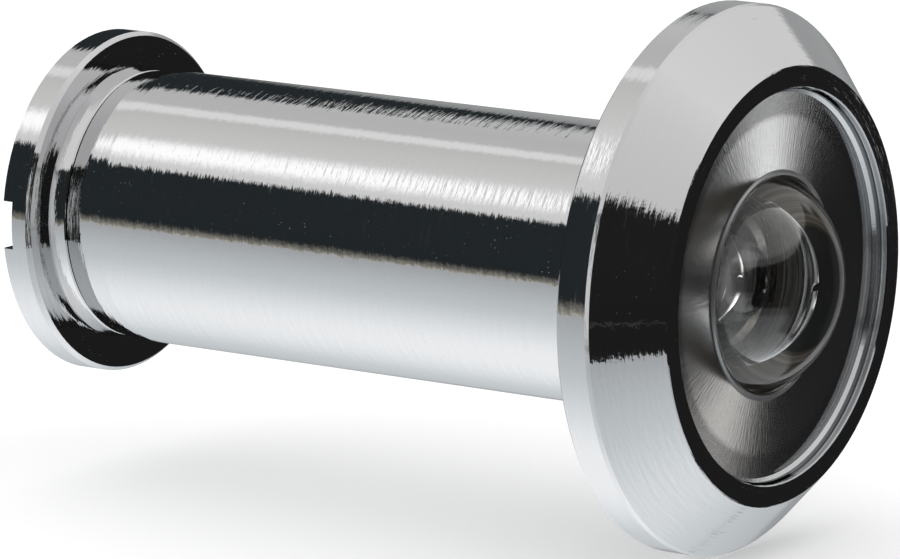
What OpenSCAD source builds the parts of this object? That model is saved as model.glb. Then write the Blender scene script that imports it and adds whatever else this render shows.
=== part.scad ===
/* [Barrel] */
// Outside diameter of the barrel that passes through the door
barrel_d = 14; // [13.5:0.25:15]
// Distance between the two seats when fully screwed together
door_min = 35; // [34:1:40]
// How far the rear sleeve can unscrew, which adds to the door thickness
travel = 25; // [20:1.25:25]
// Length of the taper that polishing leaves at the end of the barrel
end_taper_h = 2.2; // [1:0.1:3]

/* [Front flange] */
// Diameter of the rim that covers the hole outside
flange_d = 27.1; // [25:0.1:30]
// Height of the straight rim
rim_h = 1.64; // [1.2:0.02:2]
// Height of the whole flange from its seat to its flat front land
front_h = 4.46; // [4.3:0.02:4.8]
// Outer diameter of the flat front land
land_d = 21.52; // [21:0.02:22.5]
// Diameter of the recess inside the land
recess_d = 19.4; // [19:0.1:19.8]
// Depth from the land to the satin face ring
recess_depth = 0.74; // [0.6:0.02:0.9]

/* [Objective lens] */
// Radius of the domed outer surface
dome_r = 6.2; // [6:0.1:6.6]
// Diameter of the opening that the dome stands out of
opening_d = 10.72; // [10.4:0.02:10.9]
// Radius of the hollow inner surface
hollow_r = 4.4; // [4.3:0.1:4.6]
// Thickness of the glass on the axis
dome_t = 1.25; // [1.15:0.05:1.35]

/* [Rear flange] */
// Diameter of the rear flange
rear_d = 17.6; // [17:0.1:19]
// Thickness of the rear flange
rear_t = 1.74; // [1.6:0.02:2.2]
// Width of the two slots for a coin
slot_w = 2.45; // [2:0.05:3]
// Depth of the two slots for a coin
slot_depth = 0.67; // [0.5:0.01:0.8]
// Clear diameter of the eyepiece
eye_d = 9; // [8:0.1:9.4]

/* [Thread] */
// Advance of the thread in one turn
pitch = 1.25; // [1.25:0.25:1.5]
// Length of the inner thread at the end of the barrel
nut_l = 6; // [5.5:0.5:8]
// Length of thread still in the barrel when the sleeve is fully out
grip_l = 5; // [4:0.5:5]

/* [Hidden] */

fine = 128;
segs = 24;
over = 1;

// Clearances, all in millimetres
seam_gap = 0.03;
lens_gap = 0.05;
face_gap = 0.02;
thread_gap = 0.1;

// Radii of the thread: root and crest of the outer thread, and the bore of the inner one
bolt_root = barrel_d / 2 - 1.5;
bolt_crest = barrel_d / 2 - 0.85;
nut_minor = barrel_d / 2 - 1.3;
nut_major = barrel_d / 2 - 0.68;
root_half = pitch / 2 - 0.125;
crest_half = root_half - 0.36;
flank = (root_half - crest_half) / (bolt_crest - bolt_root);
sleeve_bore = bolt_root - 0.75;
barrel_bore = nut_major + 0.1;

// Rear flange and collar, measured along the axis from the front seat
seat_y = door_min;
rear_y = seat_y + rear_t;
collar_h = 0.85;
collar_y = seat_y - collar_h;
barrel_end = collar_y - seam_gap;
collar_r = barrel_d / 2 + 0.05;
collar_small = barrel_d / 2 - 0.13;
nut_y = barrel_end - nut_l;
sleeve_y = barrel_end - grip_l - travel;
relief_h = 0.75;
relief_y = collar_y - relief_h;

// Front flange and lens pockets
land_y = -front_h;
floor_y = land_y + recess_depth;
seam_y = floor_y - 0.16;
ledge_y = floor_y - 0.34;
ring_t = 0.82;
ring_y = floor_y + ring_t;
lip_t = 0.27;
lip_y = floor_y + lip_t;
pocket_r = opening_d / 2 + 0.5;
objective_edge = 2.3;
web_y = lip_y + objective_edge;
web_t = 0.6;
stack_r = nut_minor - 0.1;
web_r = stack_r - 2.4;
second_y = web_y + web_t;
second_t = 1.8;
spacer_y = second_y + second_t;
spacer_t = 0.5;
third_y = spacer_y + spacer_t;
third_t = 1.0;
lock_y = third_y + third_t;
lock_t = 0.85;
lock_r = stack_r + 0.05;
lock_end = lock_y + lock_t;

// Radii of the second lens's dome, of the inner lenses' hollows and of the rings between and behind them
second_dome_r = stack_r - 3.3;
second_hollow_r = stack_r - 3.4;
third_front_r = stack_r - 2.2;
third_back_r = stack_r - 1.8;
spacer_r = stack_r - 2.3;
spacer_step_r = stack_r - 1.7;
lock_bore_r = stack_r - 1.5;

// Centres of the two spheres that bound the objective
dome_c = floor_y - 0.08 + sqrt(dome_r * dome_r - pow(opening_d / 2 - lens_gap, 2));
hollow_c = dome_c - dome_r + dome_t + hollow_r;

// Eyepiece pocket in the rear sleeve
eye_seat_y = seat_y - 0.45;
eye_edge = 1.05;
eye_ring_y = eye_seat_y + eye_edge + 2 * lens_gap;
eye_pocket_r = eye_d / 2 + 1.1;
eye_ring_r = eye_d / 2 + 1.5;
eye_bulge = 0.8;
eye_bulge_r = eye_d / 2 - 0.05;

// Turns an upright shape so that its axis runs backwards through the door
module through_door() {
    rotate([-90, 0, 0])
    children();
}

// A turned shape from its half outline of radius and height pairs
module turned(points) {
    rotate_extrude($fn = fine)
    polygon(points);
}

// Radius of the sphere whose cap has base radius b and height h
function cap_radius(b, h) = (b * b + h * h) / (2 * h);

// A long solid screw whose ends are left rough, because both are cut off or covered
module screw(r_root, r_crest, half_root, half_crest, first_turn, turns) {
    n = segs * turns;
    rs = [r_root, r_crest, r_crest, r_root];
    zs = [-half_root, -half_crest, half_crest, half_root];
    points = concat(
        [for (i = [0:n], k = [0:3]) [rs[k] * cos(360 * i / segs), rs[k] * sin(360 * i / segs), pitch * i / segs + zs[k]]],
        [[0, 0, -pitch], [0, 0, pitch * (turns + 1)]]
    );
    low = 4 * n + 4;
    high = low + 1;
    faces = concat(
        [for (i = [0:n - 1], k = [0:2]) [4 * i + k, 4 * i + k + 1, 4 * i + 5 + k, 4 * i + 4 + k]],
        [for (i = [0:n - segs - 1]) [4 * i + 3, 4 * (i + segs), 4 * (i + segs + 1), 4 * i + 7]],
        [for (i = [0:segs - 1]) [low, 4 * i, 4 * i + 4]],
        [for (k = [0:2]) [low, k + 1, k]],
        [[low, 4 * segs, 3]],
        [for (i = [n - segs:n - 1]) [high, 4 * i + 7, 4 * i + 3]],
        [for (k = [0:2]) [high, 4 * n + k, 4 * n + k + 1]],
        [[high, 4 * (n - segs) + 3, 4 * n]]
    );
    translate([0, 0, pitch * first_turn])
    polyhedron(points = points, faces = faces, convexity = 10);
}

// The chromed brass body: barrel, flange with its cone and land, lens pockets and inner thread
module front_body() {
    color("silver")
    through_door()
    difference() {
        turned([
            [barrel_d / 2, 0],
            [flange_d / 2 - 0.12, 0],
            [flange_d / 2, -0.12],
            [flange_d / 2, -rim_h],
            [flange_d / 2 - 0.12, -rim_h - 0.16],
            [land_d / 2 + 0.03, land_y + 0.04],
            [land_d / 2 - 0.03, land_y],
            [recess_d / 2 + 0.06, land_y],
            [recess_d / 2, land_y + 0.06],
            [recess_d / 2, ledge_y],
            [recess_d / 2 - 0.09, ledge_y],
            [recess_d / 2 - 0.09, ring_y],
            [pocket_r, ring_y],
            [pocket_r, web_y],
            [web_r + 0.35, web_y],
            [web_r, web_y + 0.3],
            [web_r, second_y],
            [stack_r, second_y],
            [stack_r, lock_y],
            [lock_r, lock_y],
            [lock_r, lock_end],
            [barrel_bore, lock_end + 0.3],
            [barrel_bore, nut_y],
            [nut_minor, nut_y + 0.5],
            [nut_minor, barrel_end - 0.7],
            [barrel_bore, barrel_end],
            [barrel_d / 2 - 0.22, barrel_end],
            [barrel_d / 2 - 0.13, barrel_end - 0.1],
            [barrel_d / 2 - 0.04, barrel_end - end_taper_h / 2],
            [barrel_d / 2, barrel_end - end_taper_h]
        ]);
        screw(bolt_root + 0.05, nut_major, root_half + thread_gap - 0.05 * flank, crest_half + thread_gap - 0.02,
            floor(nut_y / pitch) - 2, ceil(nut_l / pitch) + 4);
    }
}

// The satin ring at the bottom of the recess, whose lip holds the objective
module face_ring() {
    color("gainsboro")
    through_door()
    turned([
        [opening_d / 2, lip_y],
        [opening_d / 2, floor_y - 0.06],
        [opening_d / 2 + 0.04, floor_y - 0.09],
        [opening_d / 2 + 0.14, floor_y - 0.09],
        [opening_d / 2 + 0.26, floor_y],
        [recess_d / 2 - 0.25, floor_y],
        [recess_d / 2 - 0.09, seam_y],
        [recess_d / 2 - 0.09, ring_y],
        [pocket_r, ring_y],
        [pocket_r, lip_y]
    ]);
}

// The domed outer lens, hollow behind
module objective_lens() {
    color("lightblue")
    through_door()
    difference() {
        union() {
            intersection() {
                translate([0, 0, dome_c])
                sphere(r = dome_r, $fn = fine);
                translate([0, 0, land_y - 6])
                cylinder(h = web_y + 6 - land_y, r = opening_d / 2 - lens_gap, $fn = fine);
            }
            translate([0, 0, lip_y + face_gap])
            cylinder(h = objective_edge, r = pocket_r - lens_gap, $fn = fine);
        }
        translate([0, 0, hollow_c])
        sphere(r = hollow_r, $fn = fine);
        translate([0, 0, web_y - face_gap])
        cylinder(h = 9, r = pocket_r + over, $fn = fine);
    }
}

// The second lens, with a small dome that stands into the hollow of the first, deeply hollow behind
module second_lens() {
    hollow_depth = 2.6;
    color("lightblue")
    through_door()
    difference() {
        union() {
            translate([0, 0, second_y + face_gap])
            cylinder(h = second_t - 2 * face_gap, r = stack_r - lens_gap, $fn = fine);
            translate([0, 0, second_y - 0.2])
            sphere(r = second_dome_r, $fn = fine);
        }
        translate([0, 0, spacer_y - hollow_depth + cap_radius(second_hollow_r, hollow_depth)])
        sphere(r = cap_radius(second_hollow_r, hollow_depth), $fn = fine);
    }
}

// The ring that keeps the second and third lenses apart
module spacer_ring() {
    color("goldenrod")
    through_door()
    turned([
        [spacer_r, spacer_y],
        [stack_r, spacer_y],
        [stack_r, third_y],
        [spacer_step_r, third_y],
        [spacer_step_r, third_y - 0.2],
        [spacer_r, third_y - 0.2]
    ]);
}

// The third lens, hollow on both sides
module third_lens() {
    front_depth = 0.25;
    back_depth = 0.35;
    color("lightblue")
    through_door()
    difference() {
        translate([0, 0, third_y + face_gap])
        cylinder(h = third_t - 2 * face_gap, r = stack_r - lens_gap, $fn = fine);
        translate([0, 0, third_y + front_depth - cap_radius(third_front_r, front_depth)])
        sphere(r = cap_radius(third_front_r, front_depth), $fn = fine);
        translate([0, 0, lock_y - back_depth + cap_radius(third_back_r, back_depth)])
        sphere(r = cap_radius(third_back_r, back_depth), $fn = fine);
    }
}

// The ring that clamps the inner lenses, with two slots for a spanner
module lens_lock_ring() {
    slot = 0.9;
    color("goldenrod")
    through_door()
    difference() {
        turned([
            [lock_bore_r, lock_y],
            [lock_r, lock_y],
            [lock_r, lock_end],
            [lock_bore_r + 0.3, lock_end],
            [lock_bore_r, lock_end - 0.3]
        ]);
        translate([-lock_r - over, -slot / 2, lock_end - 0.45])
        cube([2 * lock_r + 2 * over, slot, 0.45 + over]);
    }
}

// The rear sleeve: outer thread, collar, flange with coin slots and eyepiece pocket
module rear_sleeve() {
    first = floor(sleeve_y / pitch) - 2;
    turns = ceil((relief_y - sleeve_y) / pitch) + 5;
    color("silver")
    through_door()
    difference() {
        union() {
            difference() {
                screw(bolt_root, bolt_crest, root_half, crest_half, first, turns);
                translate([0, 0, sleeve_y - 6])
                cylinder(h = 6, r = barrel_d, $fn = fine);
                translate([0, 0, relief_y])
                cylinder(h = 12, r = barrel_d, $fn = fine);
                turned([
                    [bolt_root - 0.1, sleeve_y - 0.1],
                    [bolt_crest + 0.3, sleeve_y - 0.1],
                    [bolt_crest + 0.3, sleeve_y + 1.1]
                ]);
            }
            turned([
                [sleeve_bore - 0.3, relief_y - 0.2],
                [bolt_root - 0.05, relief_y - 0.2],
                [bolt_root - 0.05, collar_y],
                [collar_small - 0.07, collar_y],
                [collar_small, collar_y + 0.07],
                [collar_r, seat_y - 0.06],
                [collar_r, seat_y],
                [rear_d / 2 - 0.2, seat_y],
                [rear_d / 2, seat_y + 0.22],
                [rear_d / 2, rear_y - 0.12],
                [rear_d / 2 - 0.14, rear_y],
                [sleeve_bore - 0.3, rear_y]
            ]);
        }
        turned([
            [0, sleeve_y - over],
            [sleeve_bore, sleeve_y - over],
            [sleeve_bore, eye_seat_y],
            [eye_pocket_r, eye_seat_y],
            [eye_pocket_r, eye_ring_y],
            [eye_ring_r, eye_ring_y],
            [eye_ring_r, rear_y + over],
            [0, rear_y + over]
        ]);
        translate([-rear_d / 2 - over, -slot_w / 2, rear_y - slot_depth])
        cube([rear_d + 2 * over, slot_w, slot_depth + over]);
    }
}

// The lens at the eye, bulged towards the eye and a little towards the door
module eyepiece_lens() {
    front_bulge = 0.35;
    low = eye_seat_y + lens_gap;
    high = low + eye_edge;
    color("lightblue")
    through_door()
    union() {
        translate([0, 0, low])
        cylinder(h = eye_edge, r = eye_pocket_r - lens_gap, $fn = fine);
        intersection() {
            translate([0, 0, high + eye_bulge - cap_radius(eye_bulge_r, eye_bulge)])
            sphere(r = cap_radius(eye_bulge_r, eye_bulge), $fn = fine);
            translate([0, 0, high - 0.2])
            cylinder(h = 2, r = eye_d, $fn = fine);
        }
        intersection() {
            translate([0, 0, low - front_bulge + cap_radius(sleeve_bore - 0.1, front_bulge)])
            sphere(r = cap_radius(sleeve_bore - 0.1, front_bulge), $fn = fine);
            translate([0, 0, low - 2 + 0.1])
            cylinder(h = 2, r = eye_d, $fn = fine);
        }
    }
}

// The ring round the eyepiece that holds its lens in the sleeve
module eyepiece_ring() {
    top = rear_y - 0.1;
    color("silver")
    through_door()
    difference() {
        turned([
            [eye_d / 2, eye_ring_y],
            [eye_ring_r, eye_ring_y],
            [eye_ring_r, top],
            [eye_d / 2 + 0.55, top],
            [eye_d / 2, top - 0.4]
        ]);
        translate([-eye_ring_r - over, -0.4, top - 0.35])
        cube([2 * eye_ring_r + 2 * over, 0.8, 0.35 + over]);
    }
}

front_body();
face_ring();
objective_lens();
second_lens();
spacer_ring();
third_lens();
lens_lock_ring();
rear_sleeve();
eyepiece_lens();
eyepiece_ring();
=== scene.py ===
import bpy
from math import radians
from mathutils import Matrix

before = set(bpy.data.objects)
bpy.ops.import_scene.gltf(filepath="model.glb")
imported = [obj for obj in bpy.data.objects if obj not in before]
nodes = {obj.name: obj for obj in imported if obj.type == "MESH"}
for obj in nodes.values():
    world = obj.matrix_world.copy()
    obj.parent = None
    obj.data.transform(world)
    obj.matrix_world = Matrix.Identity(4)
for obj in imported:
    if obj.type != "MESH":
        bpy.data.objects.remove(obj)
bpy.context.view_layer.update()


# The photograph's view: a long lens a little above the viewer's axis, from the front and from its left.
# At this place, turn and focal length the rims, the barrel and the lens line up with the photograph.
bpy.ops.object.camera_add(
    location=(-0.275503, -0.171873, 0.065520),
    rotation=(radians(78.561), 0, radians(-55.823)),
)
camera = bpy.context.object
camera.name = "view_of_the_door_viewer"
camera.data.sensor_width = 36
camera.data.lens = 271.37
camera.data.clip_start = 0.01
camera.data.clip_end = 10
bpy.context.scene.camera = camera
bpy.context.scene.view_settings.view_transform = "Standard"


# The studio, painted on the world: a pale table, a wide diffuser overhead with a brighter strip, a pale
# backdrop and the dark room between them, which chrome shows as its black bands. The camera sees white
# paper, metal and glass see the backdrop's paper and the rest of the room, and nothing else is dark.
def linear(hex_colour):
    """An sRGB hex colour as linear red, green, blue and alpha."""
    parts = [int(hex_colour[i:i + 2], 16) / 255 for i in (1, 3, 5)]
    return [p / 12.92 if p <= 0.04045 else ((p + 0.055) / 1.055) ** 2.4 for p in parts] + [1.0]


def add(tree, kind, links=None, ramp=None, **settings):
    """Adds a node with its settings, socket values, links and colour stops, and returns its output."""
    node = tree.nodes.new(kind)
    for name, value in settings.items():
        setattr(node, name, value)
    for key, value in (links or {}).items():
        if isinstance(value, bpy.types.NodeSocket):
            tree.links.new(value, node.inputs[key])
        else:
            node.inputs[key].default_value = value
    if ramp:
        while len(node.color_ramp.elements) < len(ramp):
            node.color_ramp.elements.new(1.0)
        for element, (place, colour) in zip(node.color_ramp.elements, ramp):
            element.position = place
            element.color = linear(colour)
    return next((socket for socket in node.outputs if socket.enabled), None)


world = bpy.data.worlds.new("studio")
bpy.context.scene.world = world
world.use_nodes = True
sky = world.node_tree
sky.nodes.clear()
east = add(sky, "ShaderNodeSeparateXYZ", {0: add(sky, "ShaderNodeTexCoord")})
north, height = east.node.outputs[1], east.node.outputs[2]
bearing = add(sky, "ShaderNodeMath", {0: north, 1: east}, operation="ARCTAN2")
elevation = add(sky, "ShaderNodeMath", {0: height}, operation="ARCSINE")


def within(value, low, high, soft):
    """1 where the value lies between low and high, with soft edges, and 0 elsewhere."""
    up = add(sky, "ShaderNodeMapRange", {"Value": value, "From Min": low - soft, "From Max": low + soft},
             interpolation_type="SMOOTHSTEP")
    down = add(sky, "ShaderNodeMapRange", {"Value": value, "From Min": high - soft, "From Max": high + soft},
               interpolation_type="SMOOTHSTEP")
    return add(sky, "ShaderNodeMath", {0: up, 1: down}, operation="SUBTRACT")


def panel(light, colour, az, el, soft=(2, 2), along=bearing):
    """The light with one panel painted over it that spans these bearings and heights in degrees."""
    across = within(along, radians(az[0]), radians(az[1]), radians(soft[0]))
    tall = within(elevation, radians(el[0]), radians(el[1]), radians(soft[1]))
    inside = add(sky, "ShaderNodeMath", {0: across, 1: tall}, operation="MULTIPLY")
    return add(sky, "ShaderNodeMix", {"Factor": inside, 6: light, 7: colour}, data_type="RGBA")


# The light that falls on the room's surfaces. All its colours are written for a strength of 1.35.
room = add(sky, "ShaderNodeValToRGB", {0: north}, ramp=[(0.0, "#1d1d1d"), (0.35, "#23282a")])
shift = add(sky, "ShaderNodeMath", {0: add(sky, "ShaderNodeMath", {0: north, 1: east}, operation="SUBTRACT"),
                                    1: 0.14}, operation="MULTIPLY")
depth = add(sky, "ShaderNodeMath", {0: shift, 1: height}, operation="SUBTRACT")
table = add(sky, "ShaderNodeValToRGB", {0: depth}, ramp=[
    (0.25, "#999b9c"), (0.33, "#a8abad"), (0.41, "#b1b5b7"), (0.50, "#babfc1"), (0.58, "#c2c7c9"),
    (0.67, "#cacfd2"), (0.75, "#d6dbdd"), (0.83, "#e6eaec"), (0.92, "#fafcfd")])
overhead = add(sky, "ShaderNodeValToRGB", {0: add(sky, "ShaderNodeMapRange", {
    "Value": bearing, "From Min": radians(-180), "From Max": radians(180)})}, ramp=[
    (0.19, "#cccccc"), (0.25, "#d3d3d3"), (0.32, "#dedede"), (0.41, "#dadad9"), (0.50, "#d3d3d2"),
    (0.645, "#bbbbba"), (0.68, "#bebebd"), (0.77, "#cbcbc8"), (0.81, "#d0d0ce"), (0.84, "#d8d8d7")])
backdrop = add(sky, "ShaderNodeValToRGB", {0: add(sky, "ShaderNodeMapRange", {
    "Value": elevation, "From Min": radians(-30), "From Max": radians(50)})}, ramp=[
    (0.06, "#939699"), (0.28, "#797b7c"), (0.40, "#939595"), (0.55, "#989a9a"), (0.65, "#a2a4a4"),
    (0.72, "#adafae"), (0.83, "#bfbfbf"), (0.95, "#bfbfbf")])

# The table ends lower and the diffuser starts lower towards the front of the viewer than behind it. The
# table's far edge is a brownish strip, and a thin line of light lies over it on the front side.
table_edge = add(sky, "ShaderNodeMath", {0: north, 1: 0.177, 2: -0.2345}, operation="MULTIPLY_ADD")
over_table = add(sky, "ShaderNodeMath", {0: height, 1: table_edge}, operation="SUBTRACT")
strip = add(sky, "ShaderNodeValToRGB", {0: over_table}, ramp=[
    (0.0, "#b4aea4"), (0.012, "#8c8a80"), (0.045, "#6a6963"), (0.08, "#3e3e3c"), (0.10, "#23282a")])
strip_side = within(north, 0.1, 2.0, 0.2)
light = add(sky, "ShaderNodeMix", {"Factor": strip_side, 6: room, 7: strip}, data_type="RGBA")
thread_of_light = within(over_table, 0.183, 0.191, 0.003)
thread_of_light = add(sky, "ShaderNodeMath", {0: thread_of_light, 1: within(north, -2.0, 0.0, 0.3)},
                      operation="MULTIPLY")
light = add(sky, "ShaderNodeMix", {"Factor": thread_of_light, 6: light, 7: linear("#424241")},
            data_type="RGBA")
light = add(sky, "ShaderNodeMix", {"Factor": within(over_table, -3.0, 0.0, 0.006), 6: light, 7: table},
            data_type="RGBA")
diffuser_edge = add(sky, "ShaderNodeMath", {0: north, 1: 0.0895, 2: 0.494}, operation="MULTIPLY_ADD")
over_room = add(sky, "ShaderNodeMath", {0: height, 1: diffuser_edge}, operation="SUBTRACT")
light = add(sky, "ShaderNodeMix", {"Factor": within(over_room, 0.0, 3.0, 0.018), 6: light, 7: overhead},
            data_type="RGBA")

# The backdrop, the near end of the diffuser, and the dark room beyond the backdrop's slanted edge
above = add(sky, "ShaderNodeMath", {0: height, 1: 0.42}, operation="SUBTRACT")
above = add(sky, "ShaderNodeMath", {0: above, 1: 0.0}, operation="MAXIMUM")
slanted = add(sky, "ShaderNodeMath", {0: above, 1: -0.9, 2: bearing}, operation="MULTIPLY_ADD")
light = panel(light, backdrop, (-7, 35.8), (-26, 41), (4, 3), slanted)
light = panel(light, overhead, (-14, 4), (17, 60), (3, 2))
light = panel(light, room, (35.3, 60), (-1, 39), (0.6, 1.2), slanted)
light = panel(light, [0.6, 0.61, 0.61, 1], (-176, -134), (-20, 26), (4, 8))

# The black flag that stands in front of the viewer, the strip lights overhead, and two small lights at the
# flag's foot that only the brushed ring turns to: clear glass, a perfect mirror, doesn't show them
light = panel(light, room, (-72, -5), (-48, 20), (3, 3))
light = panel(light, linear("#3c3d3c"), (-19, -5), (-30, 5), (3, 3))
soft_strip = add(sky, "ShaderNodeMix", {"Factor": within(north, 0.537, 2.0, 0.004), 6: light,
                                        7: [1.15, 1.15, 1.15, 1]}, data_type="RGBA")
light = panel(light, soft_strip, (116, 138), (39.5, 49), (5, 3.5))
light = panel(light, linear("#e2e2e1"), (69, 80), (40, 60), (3, 2))
path = add(sky, "ShaderNodeLightPath").node
brushed_sees = panel(light, [1.38, 1.38, 1.36, 1], (-31, -19.5), (-23, -17.5), (5, 1.5))
brushed_sees = panel(brushed_sees, [0.82, 0.795, 0.76, 1], (-27.5, -18.5), (-9, -3), (2.5, 2))
perfect = add(sky, "ShaderNodeMath", {0: path.outputs["Is Singular Ray"],
                                      1: path.outputs["Is Transmission Ray"]}, operation="SUBTRACT")
light = add(sky, "ShaderNodeMix", {"Factor": perfect, 6: brushed_sees, 7: light}, data_type="RGBA")
mirrored = add(sky, "ShaderNodeMath", {0: path.outputs["Is Glossy Ray"],
                                       1: path.outputs["Is Transmission Ray"]}, operation="MAXIMUM")
paper = add(sky, "ShaderNodeBackground", {"Color": [1, 1, 1, 1], "Strength": 1.0})
studio = add(sky, "ShaderNodeBackground", {"Color": light, "Strength": 1.35})
both = add(sky, "ShaderNodeMixShader", {0: mirrored, 1: paper, 2: studio})
add(sky, "ShaderNodeOutputWorld", {0: both})


# The table that the viewer lies on: matt white card, which keeps its soft shadow. It lies just under the
# front flange, whose radius is 13.55 mm, and its faint glow keeps that shadow as light as in a white room.
bpy.ops.mesh.primitive_circle_add(vertices=96, radius=1.2, fill_type="NGON", location=(0, 0, -0.0136))
table_top = bpy.context.object
table_top.name = "white_card"
table_top.visible_glossy = False
table_top.visible_transmission = False
card = bpy.data.materials.new("matt_white_card")
card.use_nodes = True
tree = card.node_tree
tree.nodes.clear()
matt = add(tree, "ShaderNodeBsdfDiffuse", {"Color": linear("#f4f4f4")})
glow = add(tree, "ShaderNodeEmission", {"Color": [1, 1, 1, 1], "Strength": 0.22})
lit = add(tree, "ShaderNodeAddShader", {0: matt, 1: glow})
add(tree, "ShaderNodeOutputMaterial", {0: lit})
table_top.data.materials.append(card)


# What the materials share: each is one principled shader, and its patterns are laid out in millimetres on
# the part, along the barrel's axis and round it, so that they keep their real size.
def new_material(name):
    """A material with its node tree and its shader."""
    material = bpy.data.materials.new(name)
    material.use_nodes = True
    return material, material.node_tree, material.node_tree.nodes["Principled BSDF"]


def in_millimetres(tree):
    """The place on the part, its x, y and z, its share across the axis and the distance from the axis."""
    place = add(tree, "ShaderNodeTexCoord").node.outputs["Object"]
    mm = add(tree, "ShaderNodeVectorMath", {0: place, 1: (1000, 1000, 1000)}, operation="MULTIPLY")
    x, y, z = add(tree, "ShaderNodeSeparateXYZ", {0: mm}).node.outputs
    across = add(tree, "ShaderNodeVectorMath", {0: mm, 1: (1, 0, 1)}, operation="MULTIPLY")
    radius = add(tree, "ShaderNodeVectorMath", {0: across}, operation="LENGTH").node.outputs["Value"]
    return {"place": mm, "x": x, "y": y, "z": z, "across": across, "radius": radius}


# The body and the sleeve: turned brass, buffed on a lathe and chromed. The mop leaves rings of fine marks
# that break the edges of the bands into teeth, and the plating hardly reaches the bores, which stay brown.
def plated_brass(name, bore_mm):
    material, tree, shader = new_material(name)
    at = in_millimetres(tree)
    profile = add(tree, "ShaderNodeMath", {0: at["radius"], 1: at["y"]}, operation="ADD")

    # Buffing marks 0.3 mm apart along the turned profile, each about 2 mm long round it. Real ones are a
    # tenth as wide, too fine to show, and are drawn coarser.
    rings = add(tree, "ShaderNodeCombineXYZ", {
        0: add(tree, "ShaderNodeMath", {0: at["x"], 1: 0.55}, operation="MULTIPLY"),
        1: add(tree, "ShaderNodeMath", {0: profile, 1: 3.0}, operation="MULTIPLY"),
        2: add(tree, "ShaderNodeMath", {0: at["z"], 1: 0.55}, operation="MULTIPLY")})
    marks = add(tree, "ShaderNodeTexNoise", {"Vector": rings, "Scale": 1.0, "Detail": 3.0,
                                             "Roughness": 0.55})
    lines = add(tree, "ShaderNodeTexNoise", {"Vector": rings, "Scale": 1.7, "Detail": 2.0, "Roughness": 0.5})
    deep = add(tree, "ShaderNodeMapRange", {"Value": lines, "From Min": 0.58, "From Max": 0.78},
               interpolation_type="SMOOTHSTEP")
    polish = add(tree, "ShaderNodeMapRange", {"Value": deep, "To Min": 0.04, "To Max": 0.13})
    # Faint waves 0.3 mm wide in all directions, left by the mop, fray the bands' long edges
    waves = add(tree, "ShaderNodeTexNoise", {"Vector": at["place"], "Scale": 3.3, "Detail": 1.0,
                                             "Roughness": 0.5})
    marks = add(tree, "ShaderNodeMath", {0: waves, 1: 0.22, 2: marks}, operation="MULTIPLY_ADD")
    relief = add(tree, "ShaderNodeBump", {"Strength": 1.0, "Distance": 1.2e-5, "Height": marks})

    # Dust, up to 0.04 mm across, in loose patches, with less of it on the flanges than on the barrel
    cells = add(tree, "ShaderNodeTexVoronoi", {"Vector": at["place"], "Scale": 4.0})
    drift = add(tree, "ShaderNodeTexNoise", {"Vector": at["place"], "Scale": 0.35, "Detail": 2.0})
    grain = add(tree, "ShaderNodeMapRange", {"Value": drift, "From Min": 0.42, "From Max": 0.62,
                                             "To Min": 0.02, "To Max": 0.08})
    wiped = add(tree, "ShaderNodeMapRange", {"Value": at["radius"], "From Min": 7.2, "From Max": 9.5,
                                             "To Min": 1.0, "To Max": 0.5})
    grain = add(tree, "ShaderNodeMath", {0: grain, 1: wiped}, operation="MULTIPLY")
    dust = add(tree, "ShaderNodeMath", {0: cells, 1: grain}, operation="LESS_THAN")

    # The bore: thin plating over turned brass
    bore = add(tree, "ShaderNodeMath", {0: at["radius"], 1: bore_mm}, operation="LESS_THAN")
    turned = add(tree, "ShaderNodeValToRGB", {0: lines}, ramp=[
        (0.35, "#3f3c38"), (0.5, "#6b6762"), (0.65, "#98938b")])
    colour = add(tree, "ShaderNodeMix", {"Factor": bore, 6: linear("#d0d0d1"), 7: turned}, data_type="RGBA")

    # The steps that the turning tool leaves down the wall of the recess, as painted highlights and painted
    # shade: bright and dim hoops in the metal's colour.
    # The wall runs from the land at y -4.46 mm to the face ring at y -3.72 mm, 9.6 to 9.7 mm from the axis.
    painted_step_light_and_shade = add(tree, "ShaderNodeValToRGB", {0: add(tree, "ShaderNodeMapRange", {
        "Value": at["y"], "From Min": -4.46, "From Max": -3.72})}, ramp=[
        (0.0, "#b8babc"), (0.12, "#a6a8aa"), (0.3, "#a0a2a4"), (0.42, "#d0d2d4"), (0.5, "#7d7f80"),
        (0.66, "#74767a"), (0.78, "#9c9ea0"), (0.86, "#707274"), (0.94, "#8a8c8e"), (1.0, "#606264")])
    wall = add(tree, "ShaderNodeMath", {0: at["radius"], 1: 9.66, 2: 0.12}, operation="COMPARE")
    front = add(tree, "ShaderNodeMath", {0: at["y"], 1: -3.6}, operation="LESS_THAN")
    wall = add(tree, "ShaderNodeMath", {0: wall, 1: front}, operation="MULTIPLY")
    colour = add(tree, "ShaderNodeMix", {"Factor": wall, 6: colour, 7: painted_step_light_and_shade}, data_type="RGBA")
    colour = add(tree, "ShaderNodeMix", {"Factor": dust, 6: colour, 7: linear("#b4b6b8")}, data_type="RGBA")
    dull = add(tree, "ShaderNodeMath", {0: bore, 1: 0.2, 2: polish}, operation="MULTIPLY_ADD")
    dull = add(tree, "ShaderNodeMath", {0: dull, 1: dust}, operation="MAXIMUM")
    tree.links.new(colour, shader.inputs["Base Color"])
    tree.links.new(dull, shader.inputs["Roughness"])
    tree.links.new(add(tree, "ShaderNodeMath", {0: 1.0, 1: dust}, operation="SUBTRACT"),
                   shader.inputs["Metallic"])
    tree.links.new(relief, shader.inputs["Normal"])
    return material


nodes["front_body"].material_slots[0].material = plated_brass("chromed_brass_body", 6.7)
nodes["rear_sleeve"].material_slots[0].material = plated_brass("chromed_brass_sleeve", 5.0)
nodes["eyepiece_ring"].material_slots[0].material = plated_brass("chromed_brass_ring", 0.0)


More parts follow.
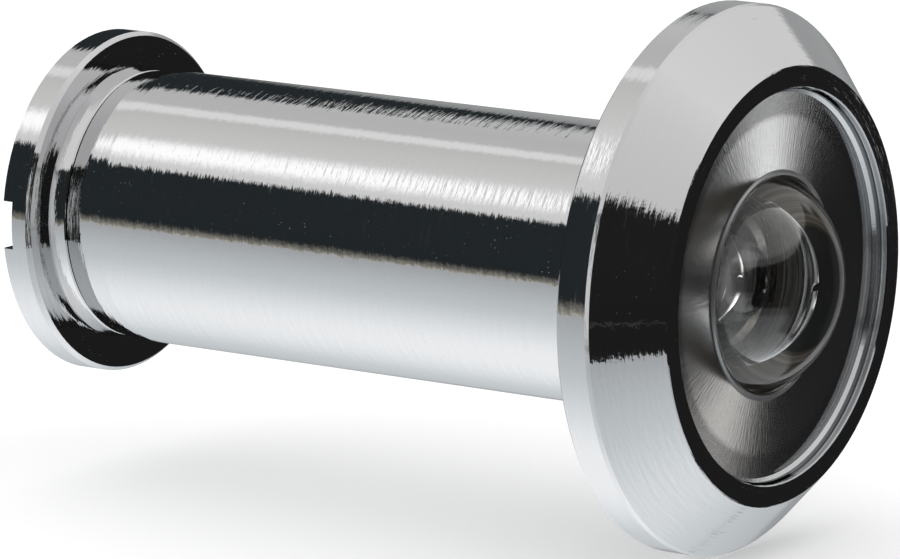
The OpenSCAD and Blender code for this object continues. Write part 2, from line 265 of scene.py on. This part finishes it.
# The face ring: pressed brass with a satin chrome, brushed outwards from the lens. Each brush mark leans a
# little inwards, so the light lies on it in two soft fans, and its margin keeps more of the bright metal.
satin, tree, shader = new_material("satin_chrome")
at = in_millimetres(tree)
outwards = add(tree, "ShaderNodeVectorMath", {0: at["across"]}, operation="NORMALIZE")
facing = add(tree, "ShaderNodeNewGeometry").node.outputs["Normal"]

# Brush marks 0.2 mm apart and about 1 mm long, running outwards. The bright metal that the brush leaves
# between its hairs is a few thousandths of a millimetre wide, so the eye sees it only as a veil.
turn = add(tree, "ShaderNodeMath", {0: at["z"], 1: at["x"]}, operation="ARCTAN2")
strokes = add(tree, "ShaderNodeCombineXYZ", {
    0: add(tree, "ShaderNodeMath", {0: turn, 1: 60.0}, operation="MULTIPLY"),
    1: add(tree, "ShaderNodeMath", {0: at["radius"], 1: 0.9}, operation="MULTIPLY")})
brushed = add(tree, "ShaderNodeTexNoise", {"Vector": strokes, "Scale": 1.0, "Detail": 3.0, "Roughness": 0.6})
flats = add(tree, "ShaderNodeCombineXYZ", {
    0: add(tree, "ShaderNodeMath", {0: turn, 1: 3000.0}, operation="MULTIPLY"),
    1: add(tree, "ShaderNodeMath", {0: at["radius"], 1: 20.0}, operation="MULTIPLY")})
flats = add(tree, "ShaderNodeTexNoise", {"Vector": flats, "Scale": 1.0, "Detail": 0.0})
bright = add(tree, "ShaderNodeMapRange", {"Value": at["radius"], "From Min": 8.0, "From Max": 8.5,
                                          "To Min": 0.3, "To Max": 0.5}, interpolation_type="SMOOTHSTEP")
brush = add(tree, "ShaderNodeMath", {0: flats, 1: bright}, operation="SUBTRACT")
brush = add(tree, "ShaderNodeMapRange", {"Value": brush, "From Min": -0.03, "From Max": 0.03})
lean = add(tree, "ShaderNodeMath", {0: brush, 1: -0.158}, operation="MULTIPLY")
lean = add(tree, "ShaderNodeVectorMath", {0: outwards, "Scale": lean}, operation="SCALE")
lean = add(tree, "ShaderNodeVectorMath", {0: facing, 1: lean}, operation="ADD")
lean = add(tree, "ShaderNodeVectorMath", {0: lean}, operation="NORMALIZE")
marks = add(tree, "ShaderNodeBump", {"Strength": 1.0, "Distance": 4.5e-6, "Height": brushed, "Normal": lean})
rough = add(tree, "ShaderNodeMapRange", {"Value": brush, "To Min": 0.05, "To Max": 0.16})
bead = add(tree, "ShaderNodeMath", {0: at["radius"], 1: 5.66}, operation="LESS_THAN")
rough = add(tree, "ShaderNodeMath", {0: bead, 1: 0.2, 2: rough}, operation="MULTIPLY_ADD")
tree.links.new(rough, shader.inputs["Roughness"])
tree.links.new(marks, shader.inputs["Normal"])
shader.inputs["Base Color"].default_value = linear("#c4c5c6")
shader.inputs["Metallic"].default_value = 1.0
nodes["face_ring"].material_slots[0].material = satin


# The spacer and the lock ring between the inner lenses: turned brass, left bare and gone a little brown.
brass, tree, shader = new_material("bare_brass")
at = in_millimetres(tree)
rings = add(tree, "ShaderNodeVectorMath", {0: at["place"], 1: (0.15, 5, 0.15)}, operation="MULTIPLY")
turned = add(tree, "ShaderNodeTexNoise", {"Vector": rings, "Scale": 1.0, "Detail": 3.0})
tree.links.new(add(tree, "ShaderNodeValToRGB", {0: turned}, ramp=[
    (0.35, "#8a7a60"), (0.5, "#a8987a"), (0.65, "#bcae92")]), shader.inputs["Base Color"])
shader.inputs["Metallic"].default_value = 1.0
shader.inputs["Roughness"].default_value = 0.24
tree.links.new(add(tree, "ShaderNodeBump", {"Strength": 1.0, "Distance": 8e-6, "Height": turned}),
               shader.inputs["Normal"])
for name in ("spacer_ring", "lens_lock_ring"):
    nodes[name].material_slots[0].material = brass


# The lenses: crown glass, polished clear on both faces. Their edges are ground, and the back of the
# objective's rim is blackened and shows the turned seat behind it near its edge.
def ground_glass(name, edge_mm, back_mm=99.0, hollow_mm=0.0):
    """Glass that is ground beyond edge_mm from the axis and black behind y back_mm, with a painted
    reflection of the dark mount round a hollow.
    """
    material, tree, shader = new_material(name)
    at = in_millimetres(tree)
    edge = add(tree, "ShaderNodeMath", {0: at["radius"], 1: edge_mm}, operation="GREATER_THAN")
    back = add(tree, "ShaderNodeMath", {0: at["y"], 1: back_mm}, operation="GREATER_THAN")
    # The hollow's centre lies 1.15 mm outside the front seat. Where its face is seen at a glancing angle it
    # mirrors all light, and that reflection of the dark mount is painted there as dark opaque colour.
    centre = add(tree, "ShaderNodeVectorMath", {0: at["place"], 1: (0, -1.15, 0)}, operation="DISTANCE")
    hollow = add(tree, "ShaderNodeMath", {0: centre.node.outputs["Value"], 1: hollow_mm},
                 operation="LESS_THAN")
    mirror = add(tree, "ShaderNodeMapRange", {"Value": add(tree, "ShaderNodeFresnel", {"IOR": 1.52}),
                                              "From Min": 0.5, "From Max": 0.9})
    # Painted reflection: where the hollow is seen at a glancing angle, the dark mount that it mirrors is
    # painted in as colour
    painted_mount_reflection = add(tree, "ShaderNodeMath", {0: hollow, 1: mirror}, operation="MULTIPLY")
    opaque = add(tree, "ShaderNodeMath", {0: edge, 1: back}, operation="MAXIMUM")
    # Grinding marks 0.2 mm apart round the edge, and turned rings 0.15 mm apart on the seat
    along = add(tree, "ShaderNodeVectorMath", {0: at["place"], 1: (0.12, 4.5, 0.12)}, operation="MULTIPLY")
    ground = add(tree, "ShaderNodeTexNoise", {"Vector": along, "Scale": 1.0, "Detail": 4.0,
                                              "Roughness": 0.7})
    grey = add(tree, "ShaderNodeValToRGB", {0: ground}, ramp=[
        (0.3, "#2e2e2d"), (0.45, "#8a8a87"), (0.55, "#b4b4b0"), (0.7, "#dcdcd8")])
    turned = add(tree, "ShaderNodeCombineXYZ", {
        0: add(tree, "ShaderNodeMath", {0: at["radius"], 1: 6.0}, operation="MULTIPLY")})
    seat = add(tree, "ShaderNodeTexNoise", {"Vector": turned, "Scale": 1.0, "Detail": 3.0, "Roughness": 0.6})
    seat = add(tree, "ShaderNodeValToRGB", {0: seat}, ramp=[
        (0.35, "#3c372f"), (0.5, "#6e675c"), (0.65, "#958c7e")])
    ring = add(tree, "ShaderNodeMapRange", {"Value": at["radius"], "From Min": 2.6, "From Max": 2.9},
               interpolation_type="SMOOTHSTEP")
    black = add(tree, "ShaderNodeMix", {"Factor": ring, 6: linear("#0c0e0d"), 7: seat}, data_type="RGBA")
    # Dark where the back is blackened, and where the hollow's reflection of the dark mount is painted
    dark = add(tree, "ShaderNodeMath", {0: back, 1: painted_mount_reflection}, operation="MAXIMUM")
    solid = add(tree, "ShaderNodeMix", {"Factor": dark, 6: grey, 7: black}, data_type="RGBA")
    opaque = add(tree, "ShaderNodeMath", {0: opaque, 1: painted_mount_reflection}, operation="MAXIMUM")
    colour = add(tree, "ShaderNodeMix", {"Factor": opaque, 6: [1, 1, 1, 1], 7: solid}, data_type="RGBA")
    tree.links.new(colour, shader.inputs["Base Color"])
    tree.links.new(add(tree, "ShaderNodeMath", {0: opaque, 1: 0.5}, operation="MULTIPLY"),
                   shader.inputs["Roughness"])
    tree.links.new(add(tree, "ShaderNodeMath", {0: 1.0, 1: opaque}, operation="SUBTRACT"),
                   shader.inputs["Transmission Weight"])
    shader.inputs["IOR"].default_value = 1.52
    return material


nodes["objective_lens"].material_slots[0].material = ground_glass("crown_glass_objective", 5.6, -1.2, 4.5)
inner_glass = ground_glass("crown_glass_inner", 5.45)
nodes["second_lens"].material_slots[0].material = inner_glass
nodes["third_lens"].material_slots[0].material = inner_glass
nodes["eyepiece_lens"].material_slots[0].material = ground_glass("crown_glass_eyepiece", 5.5)
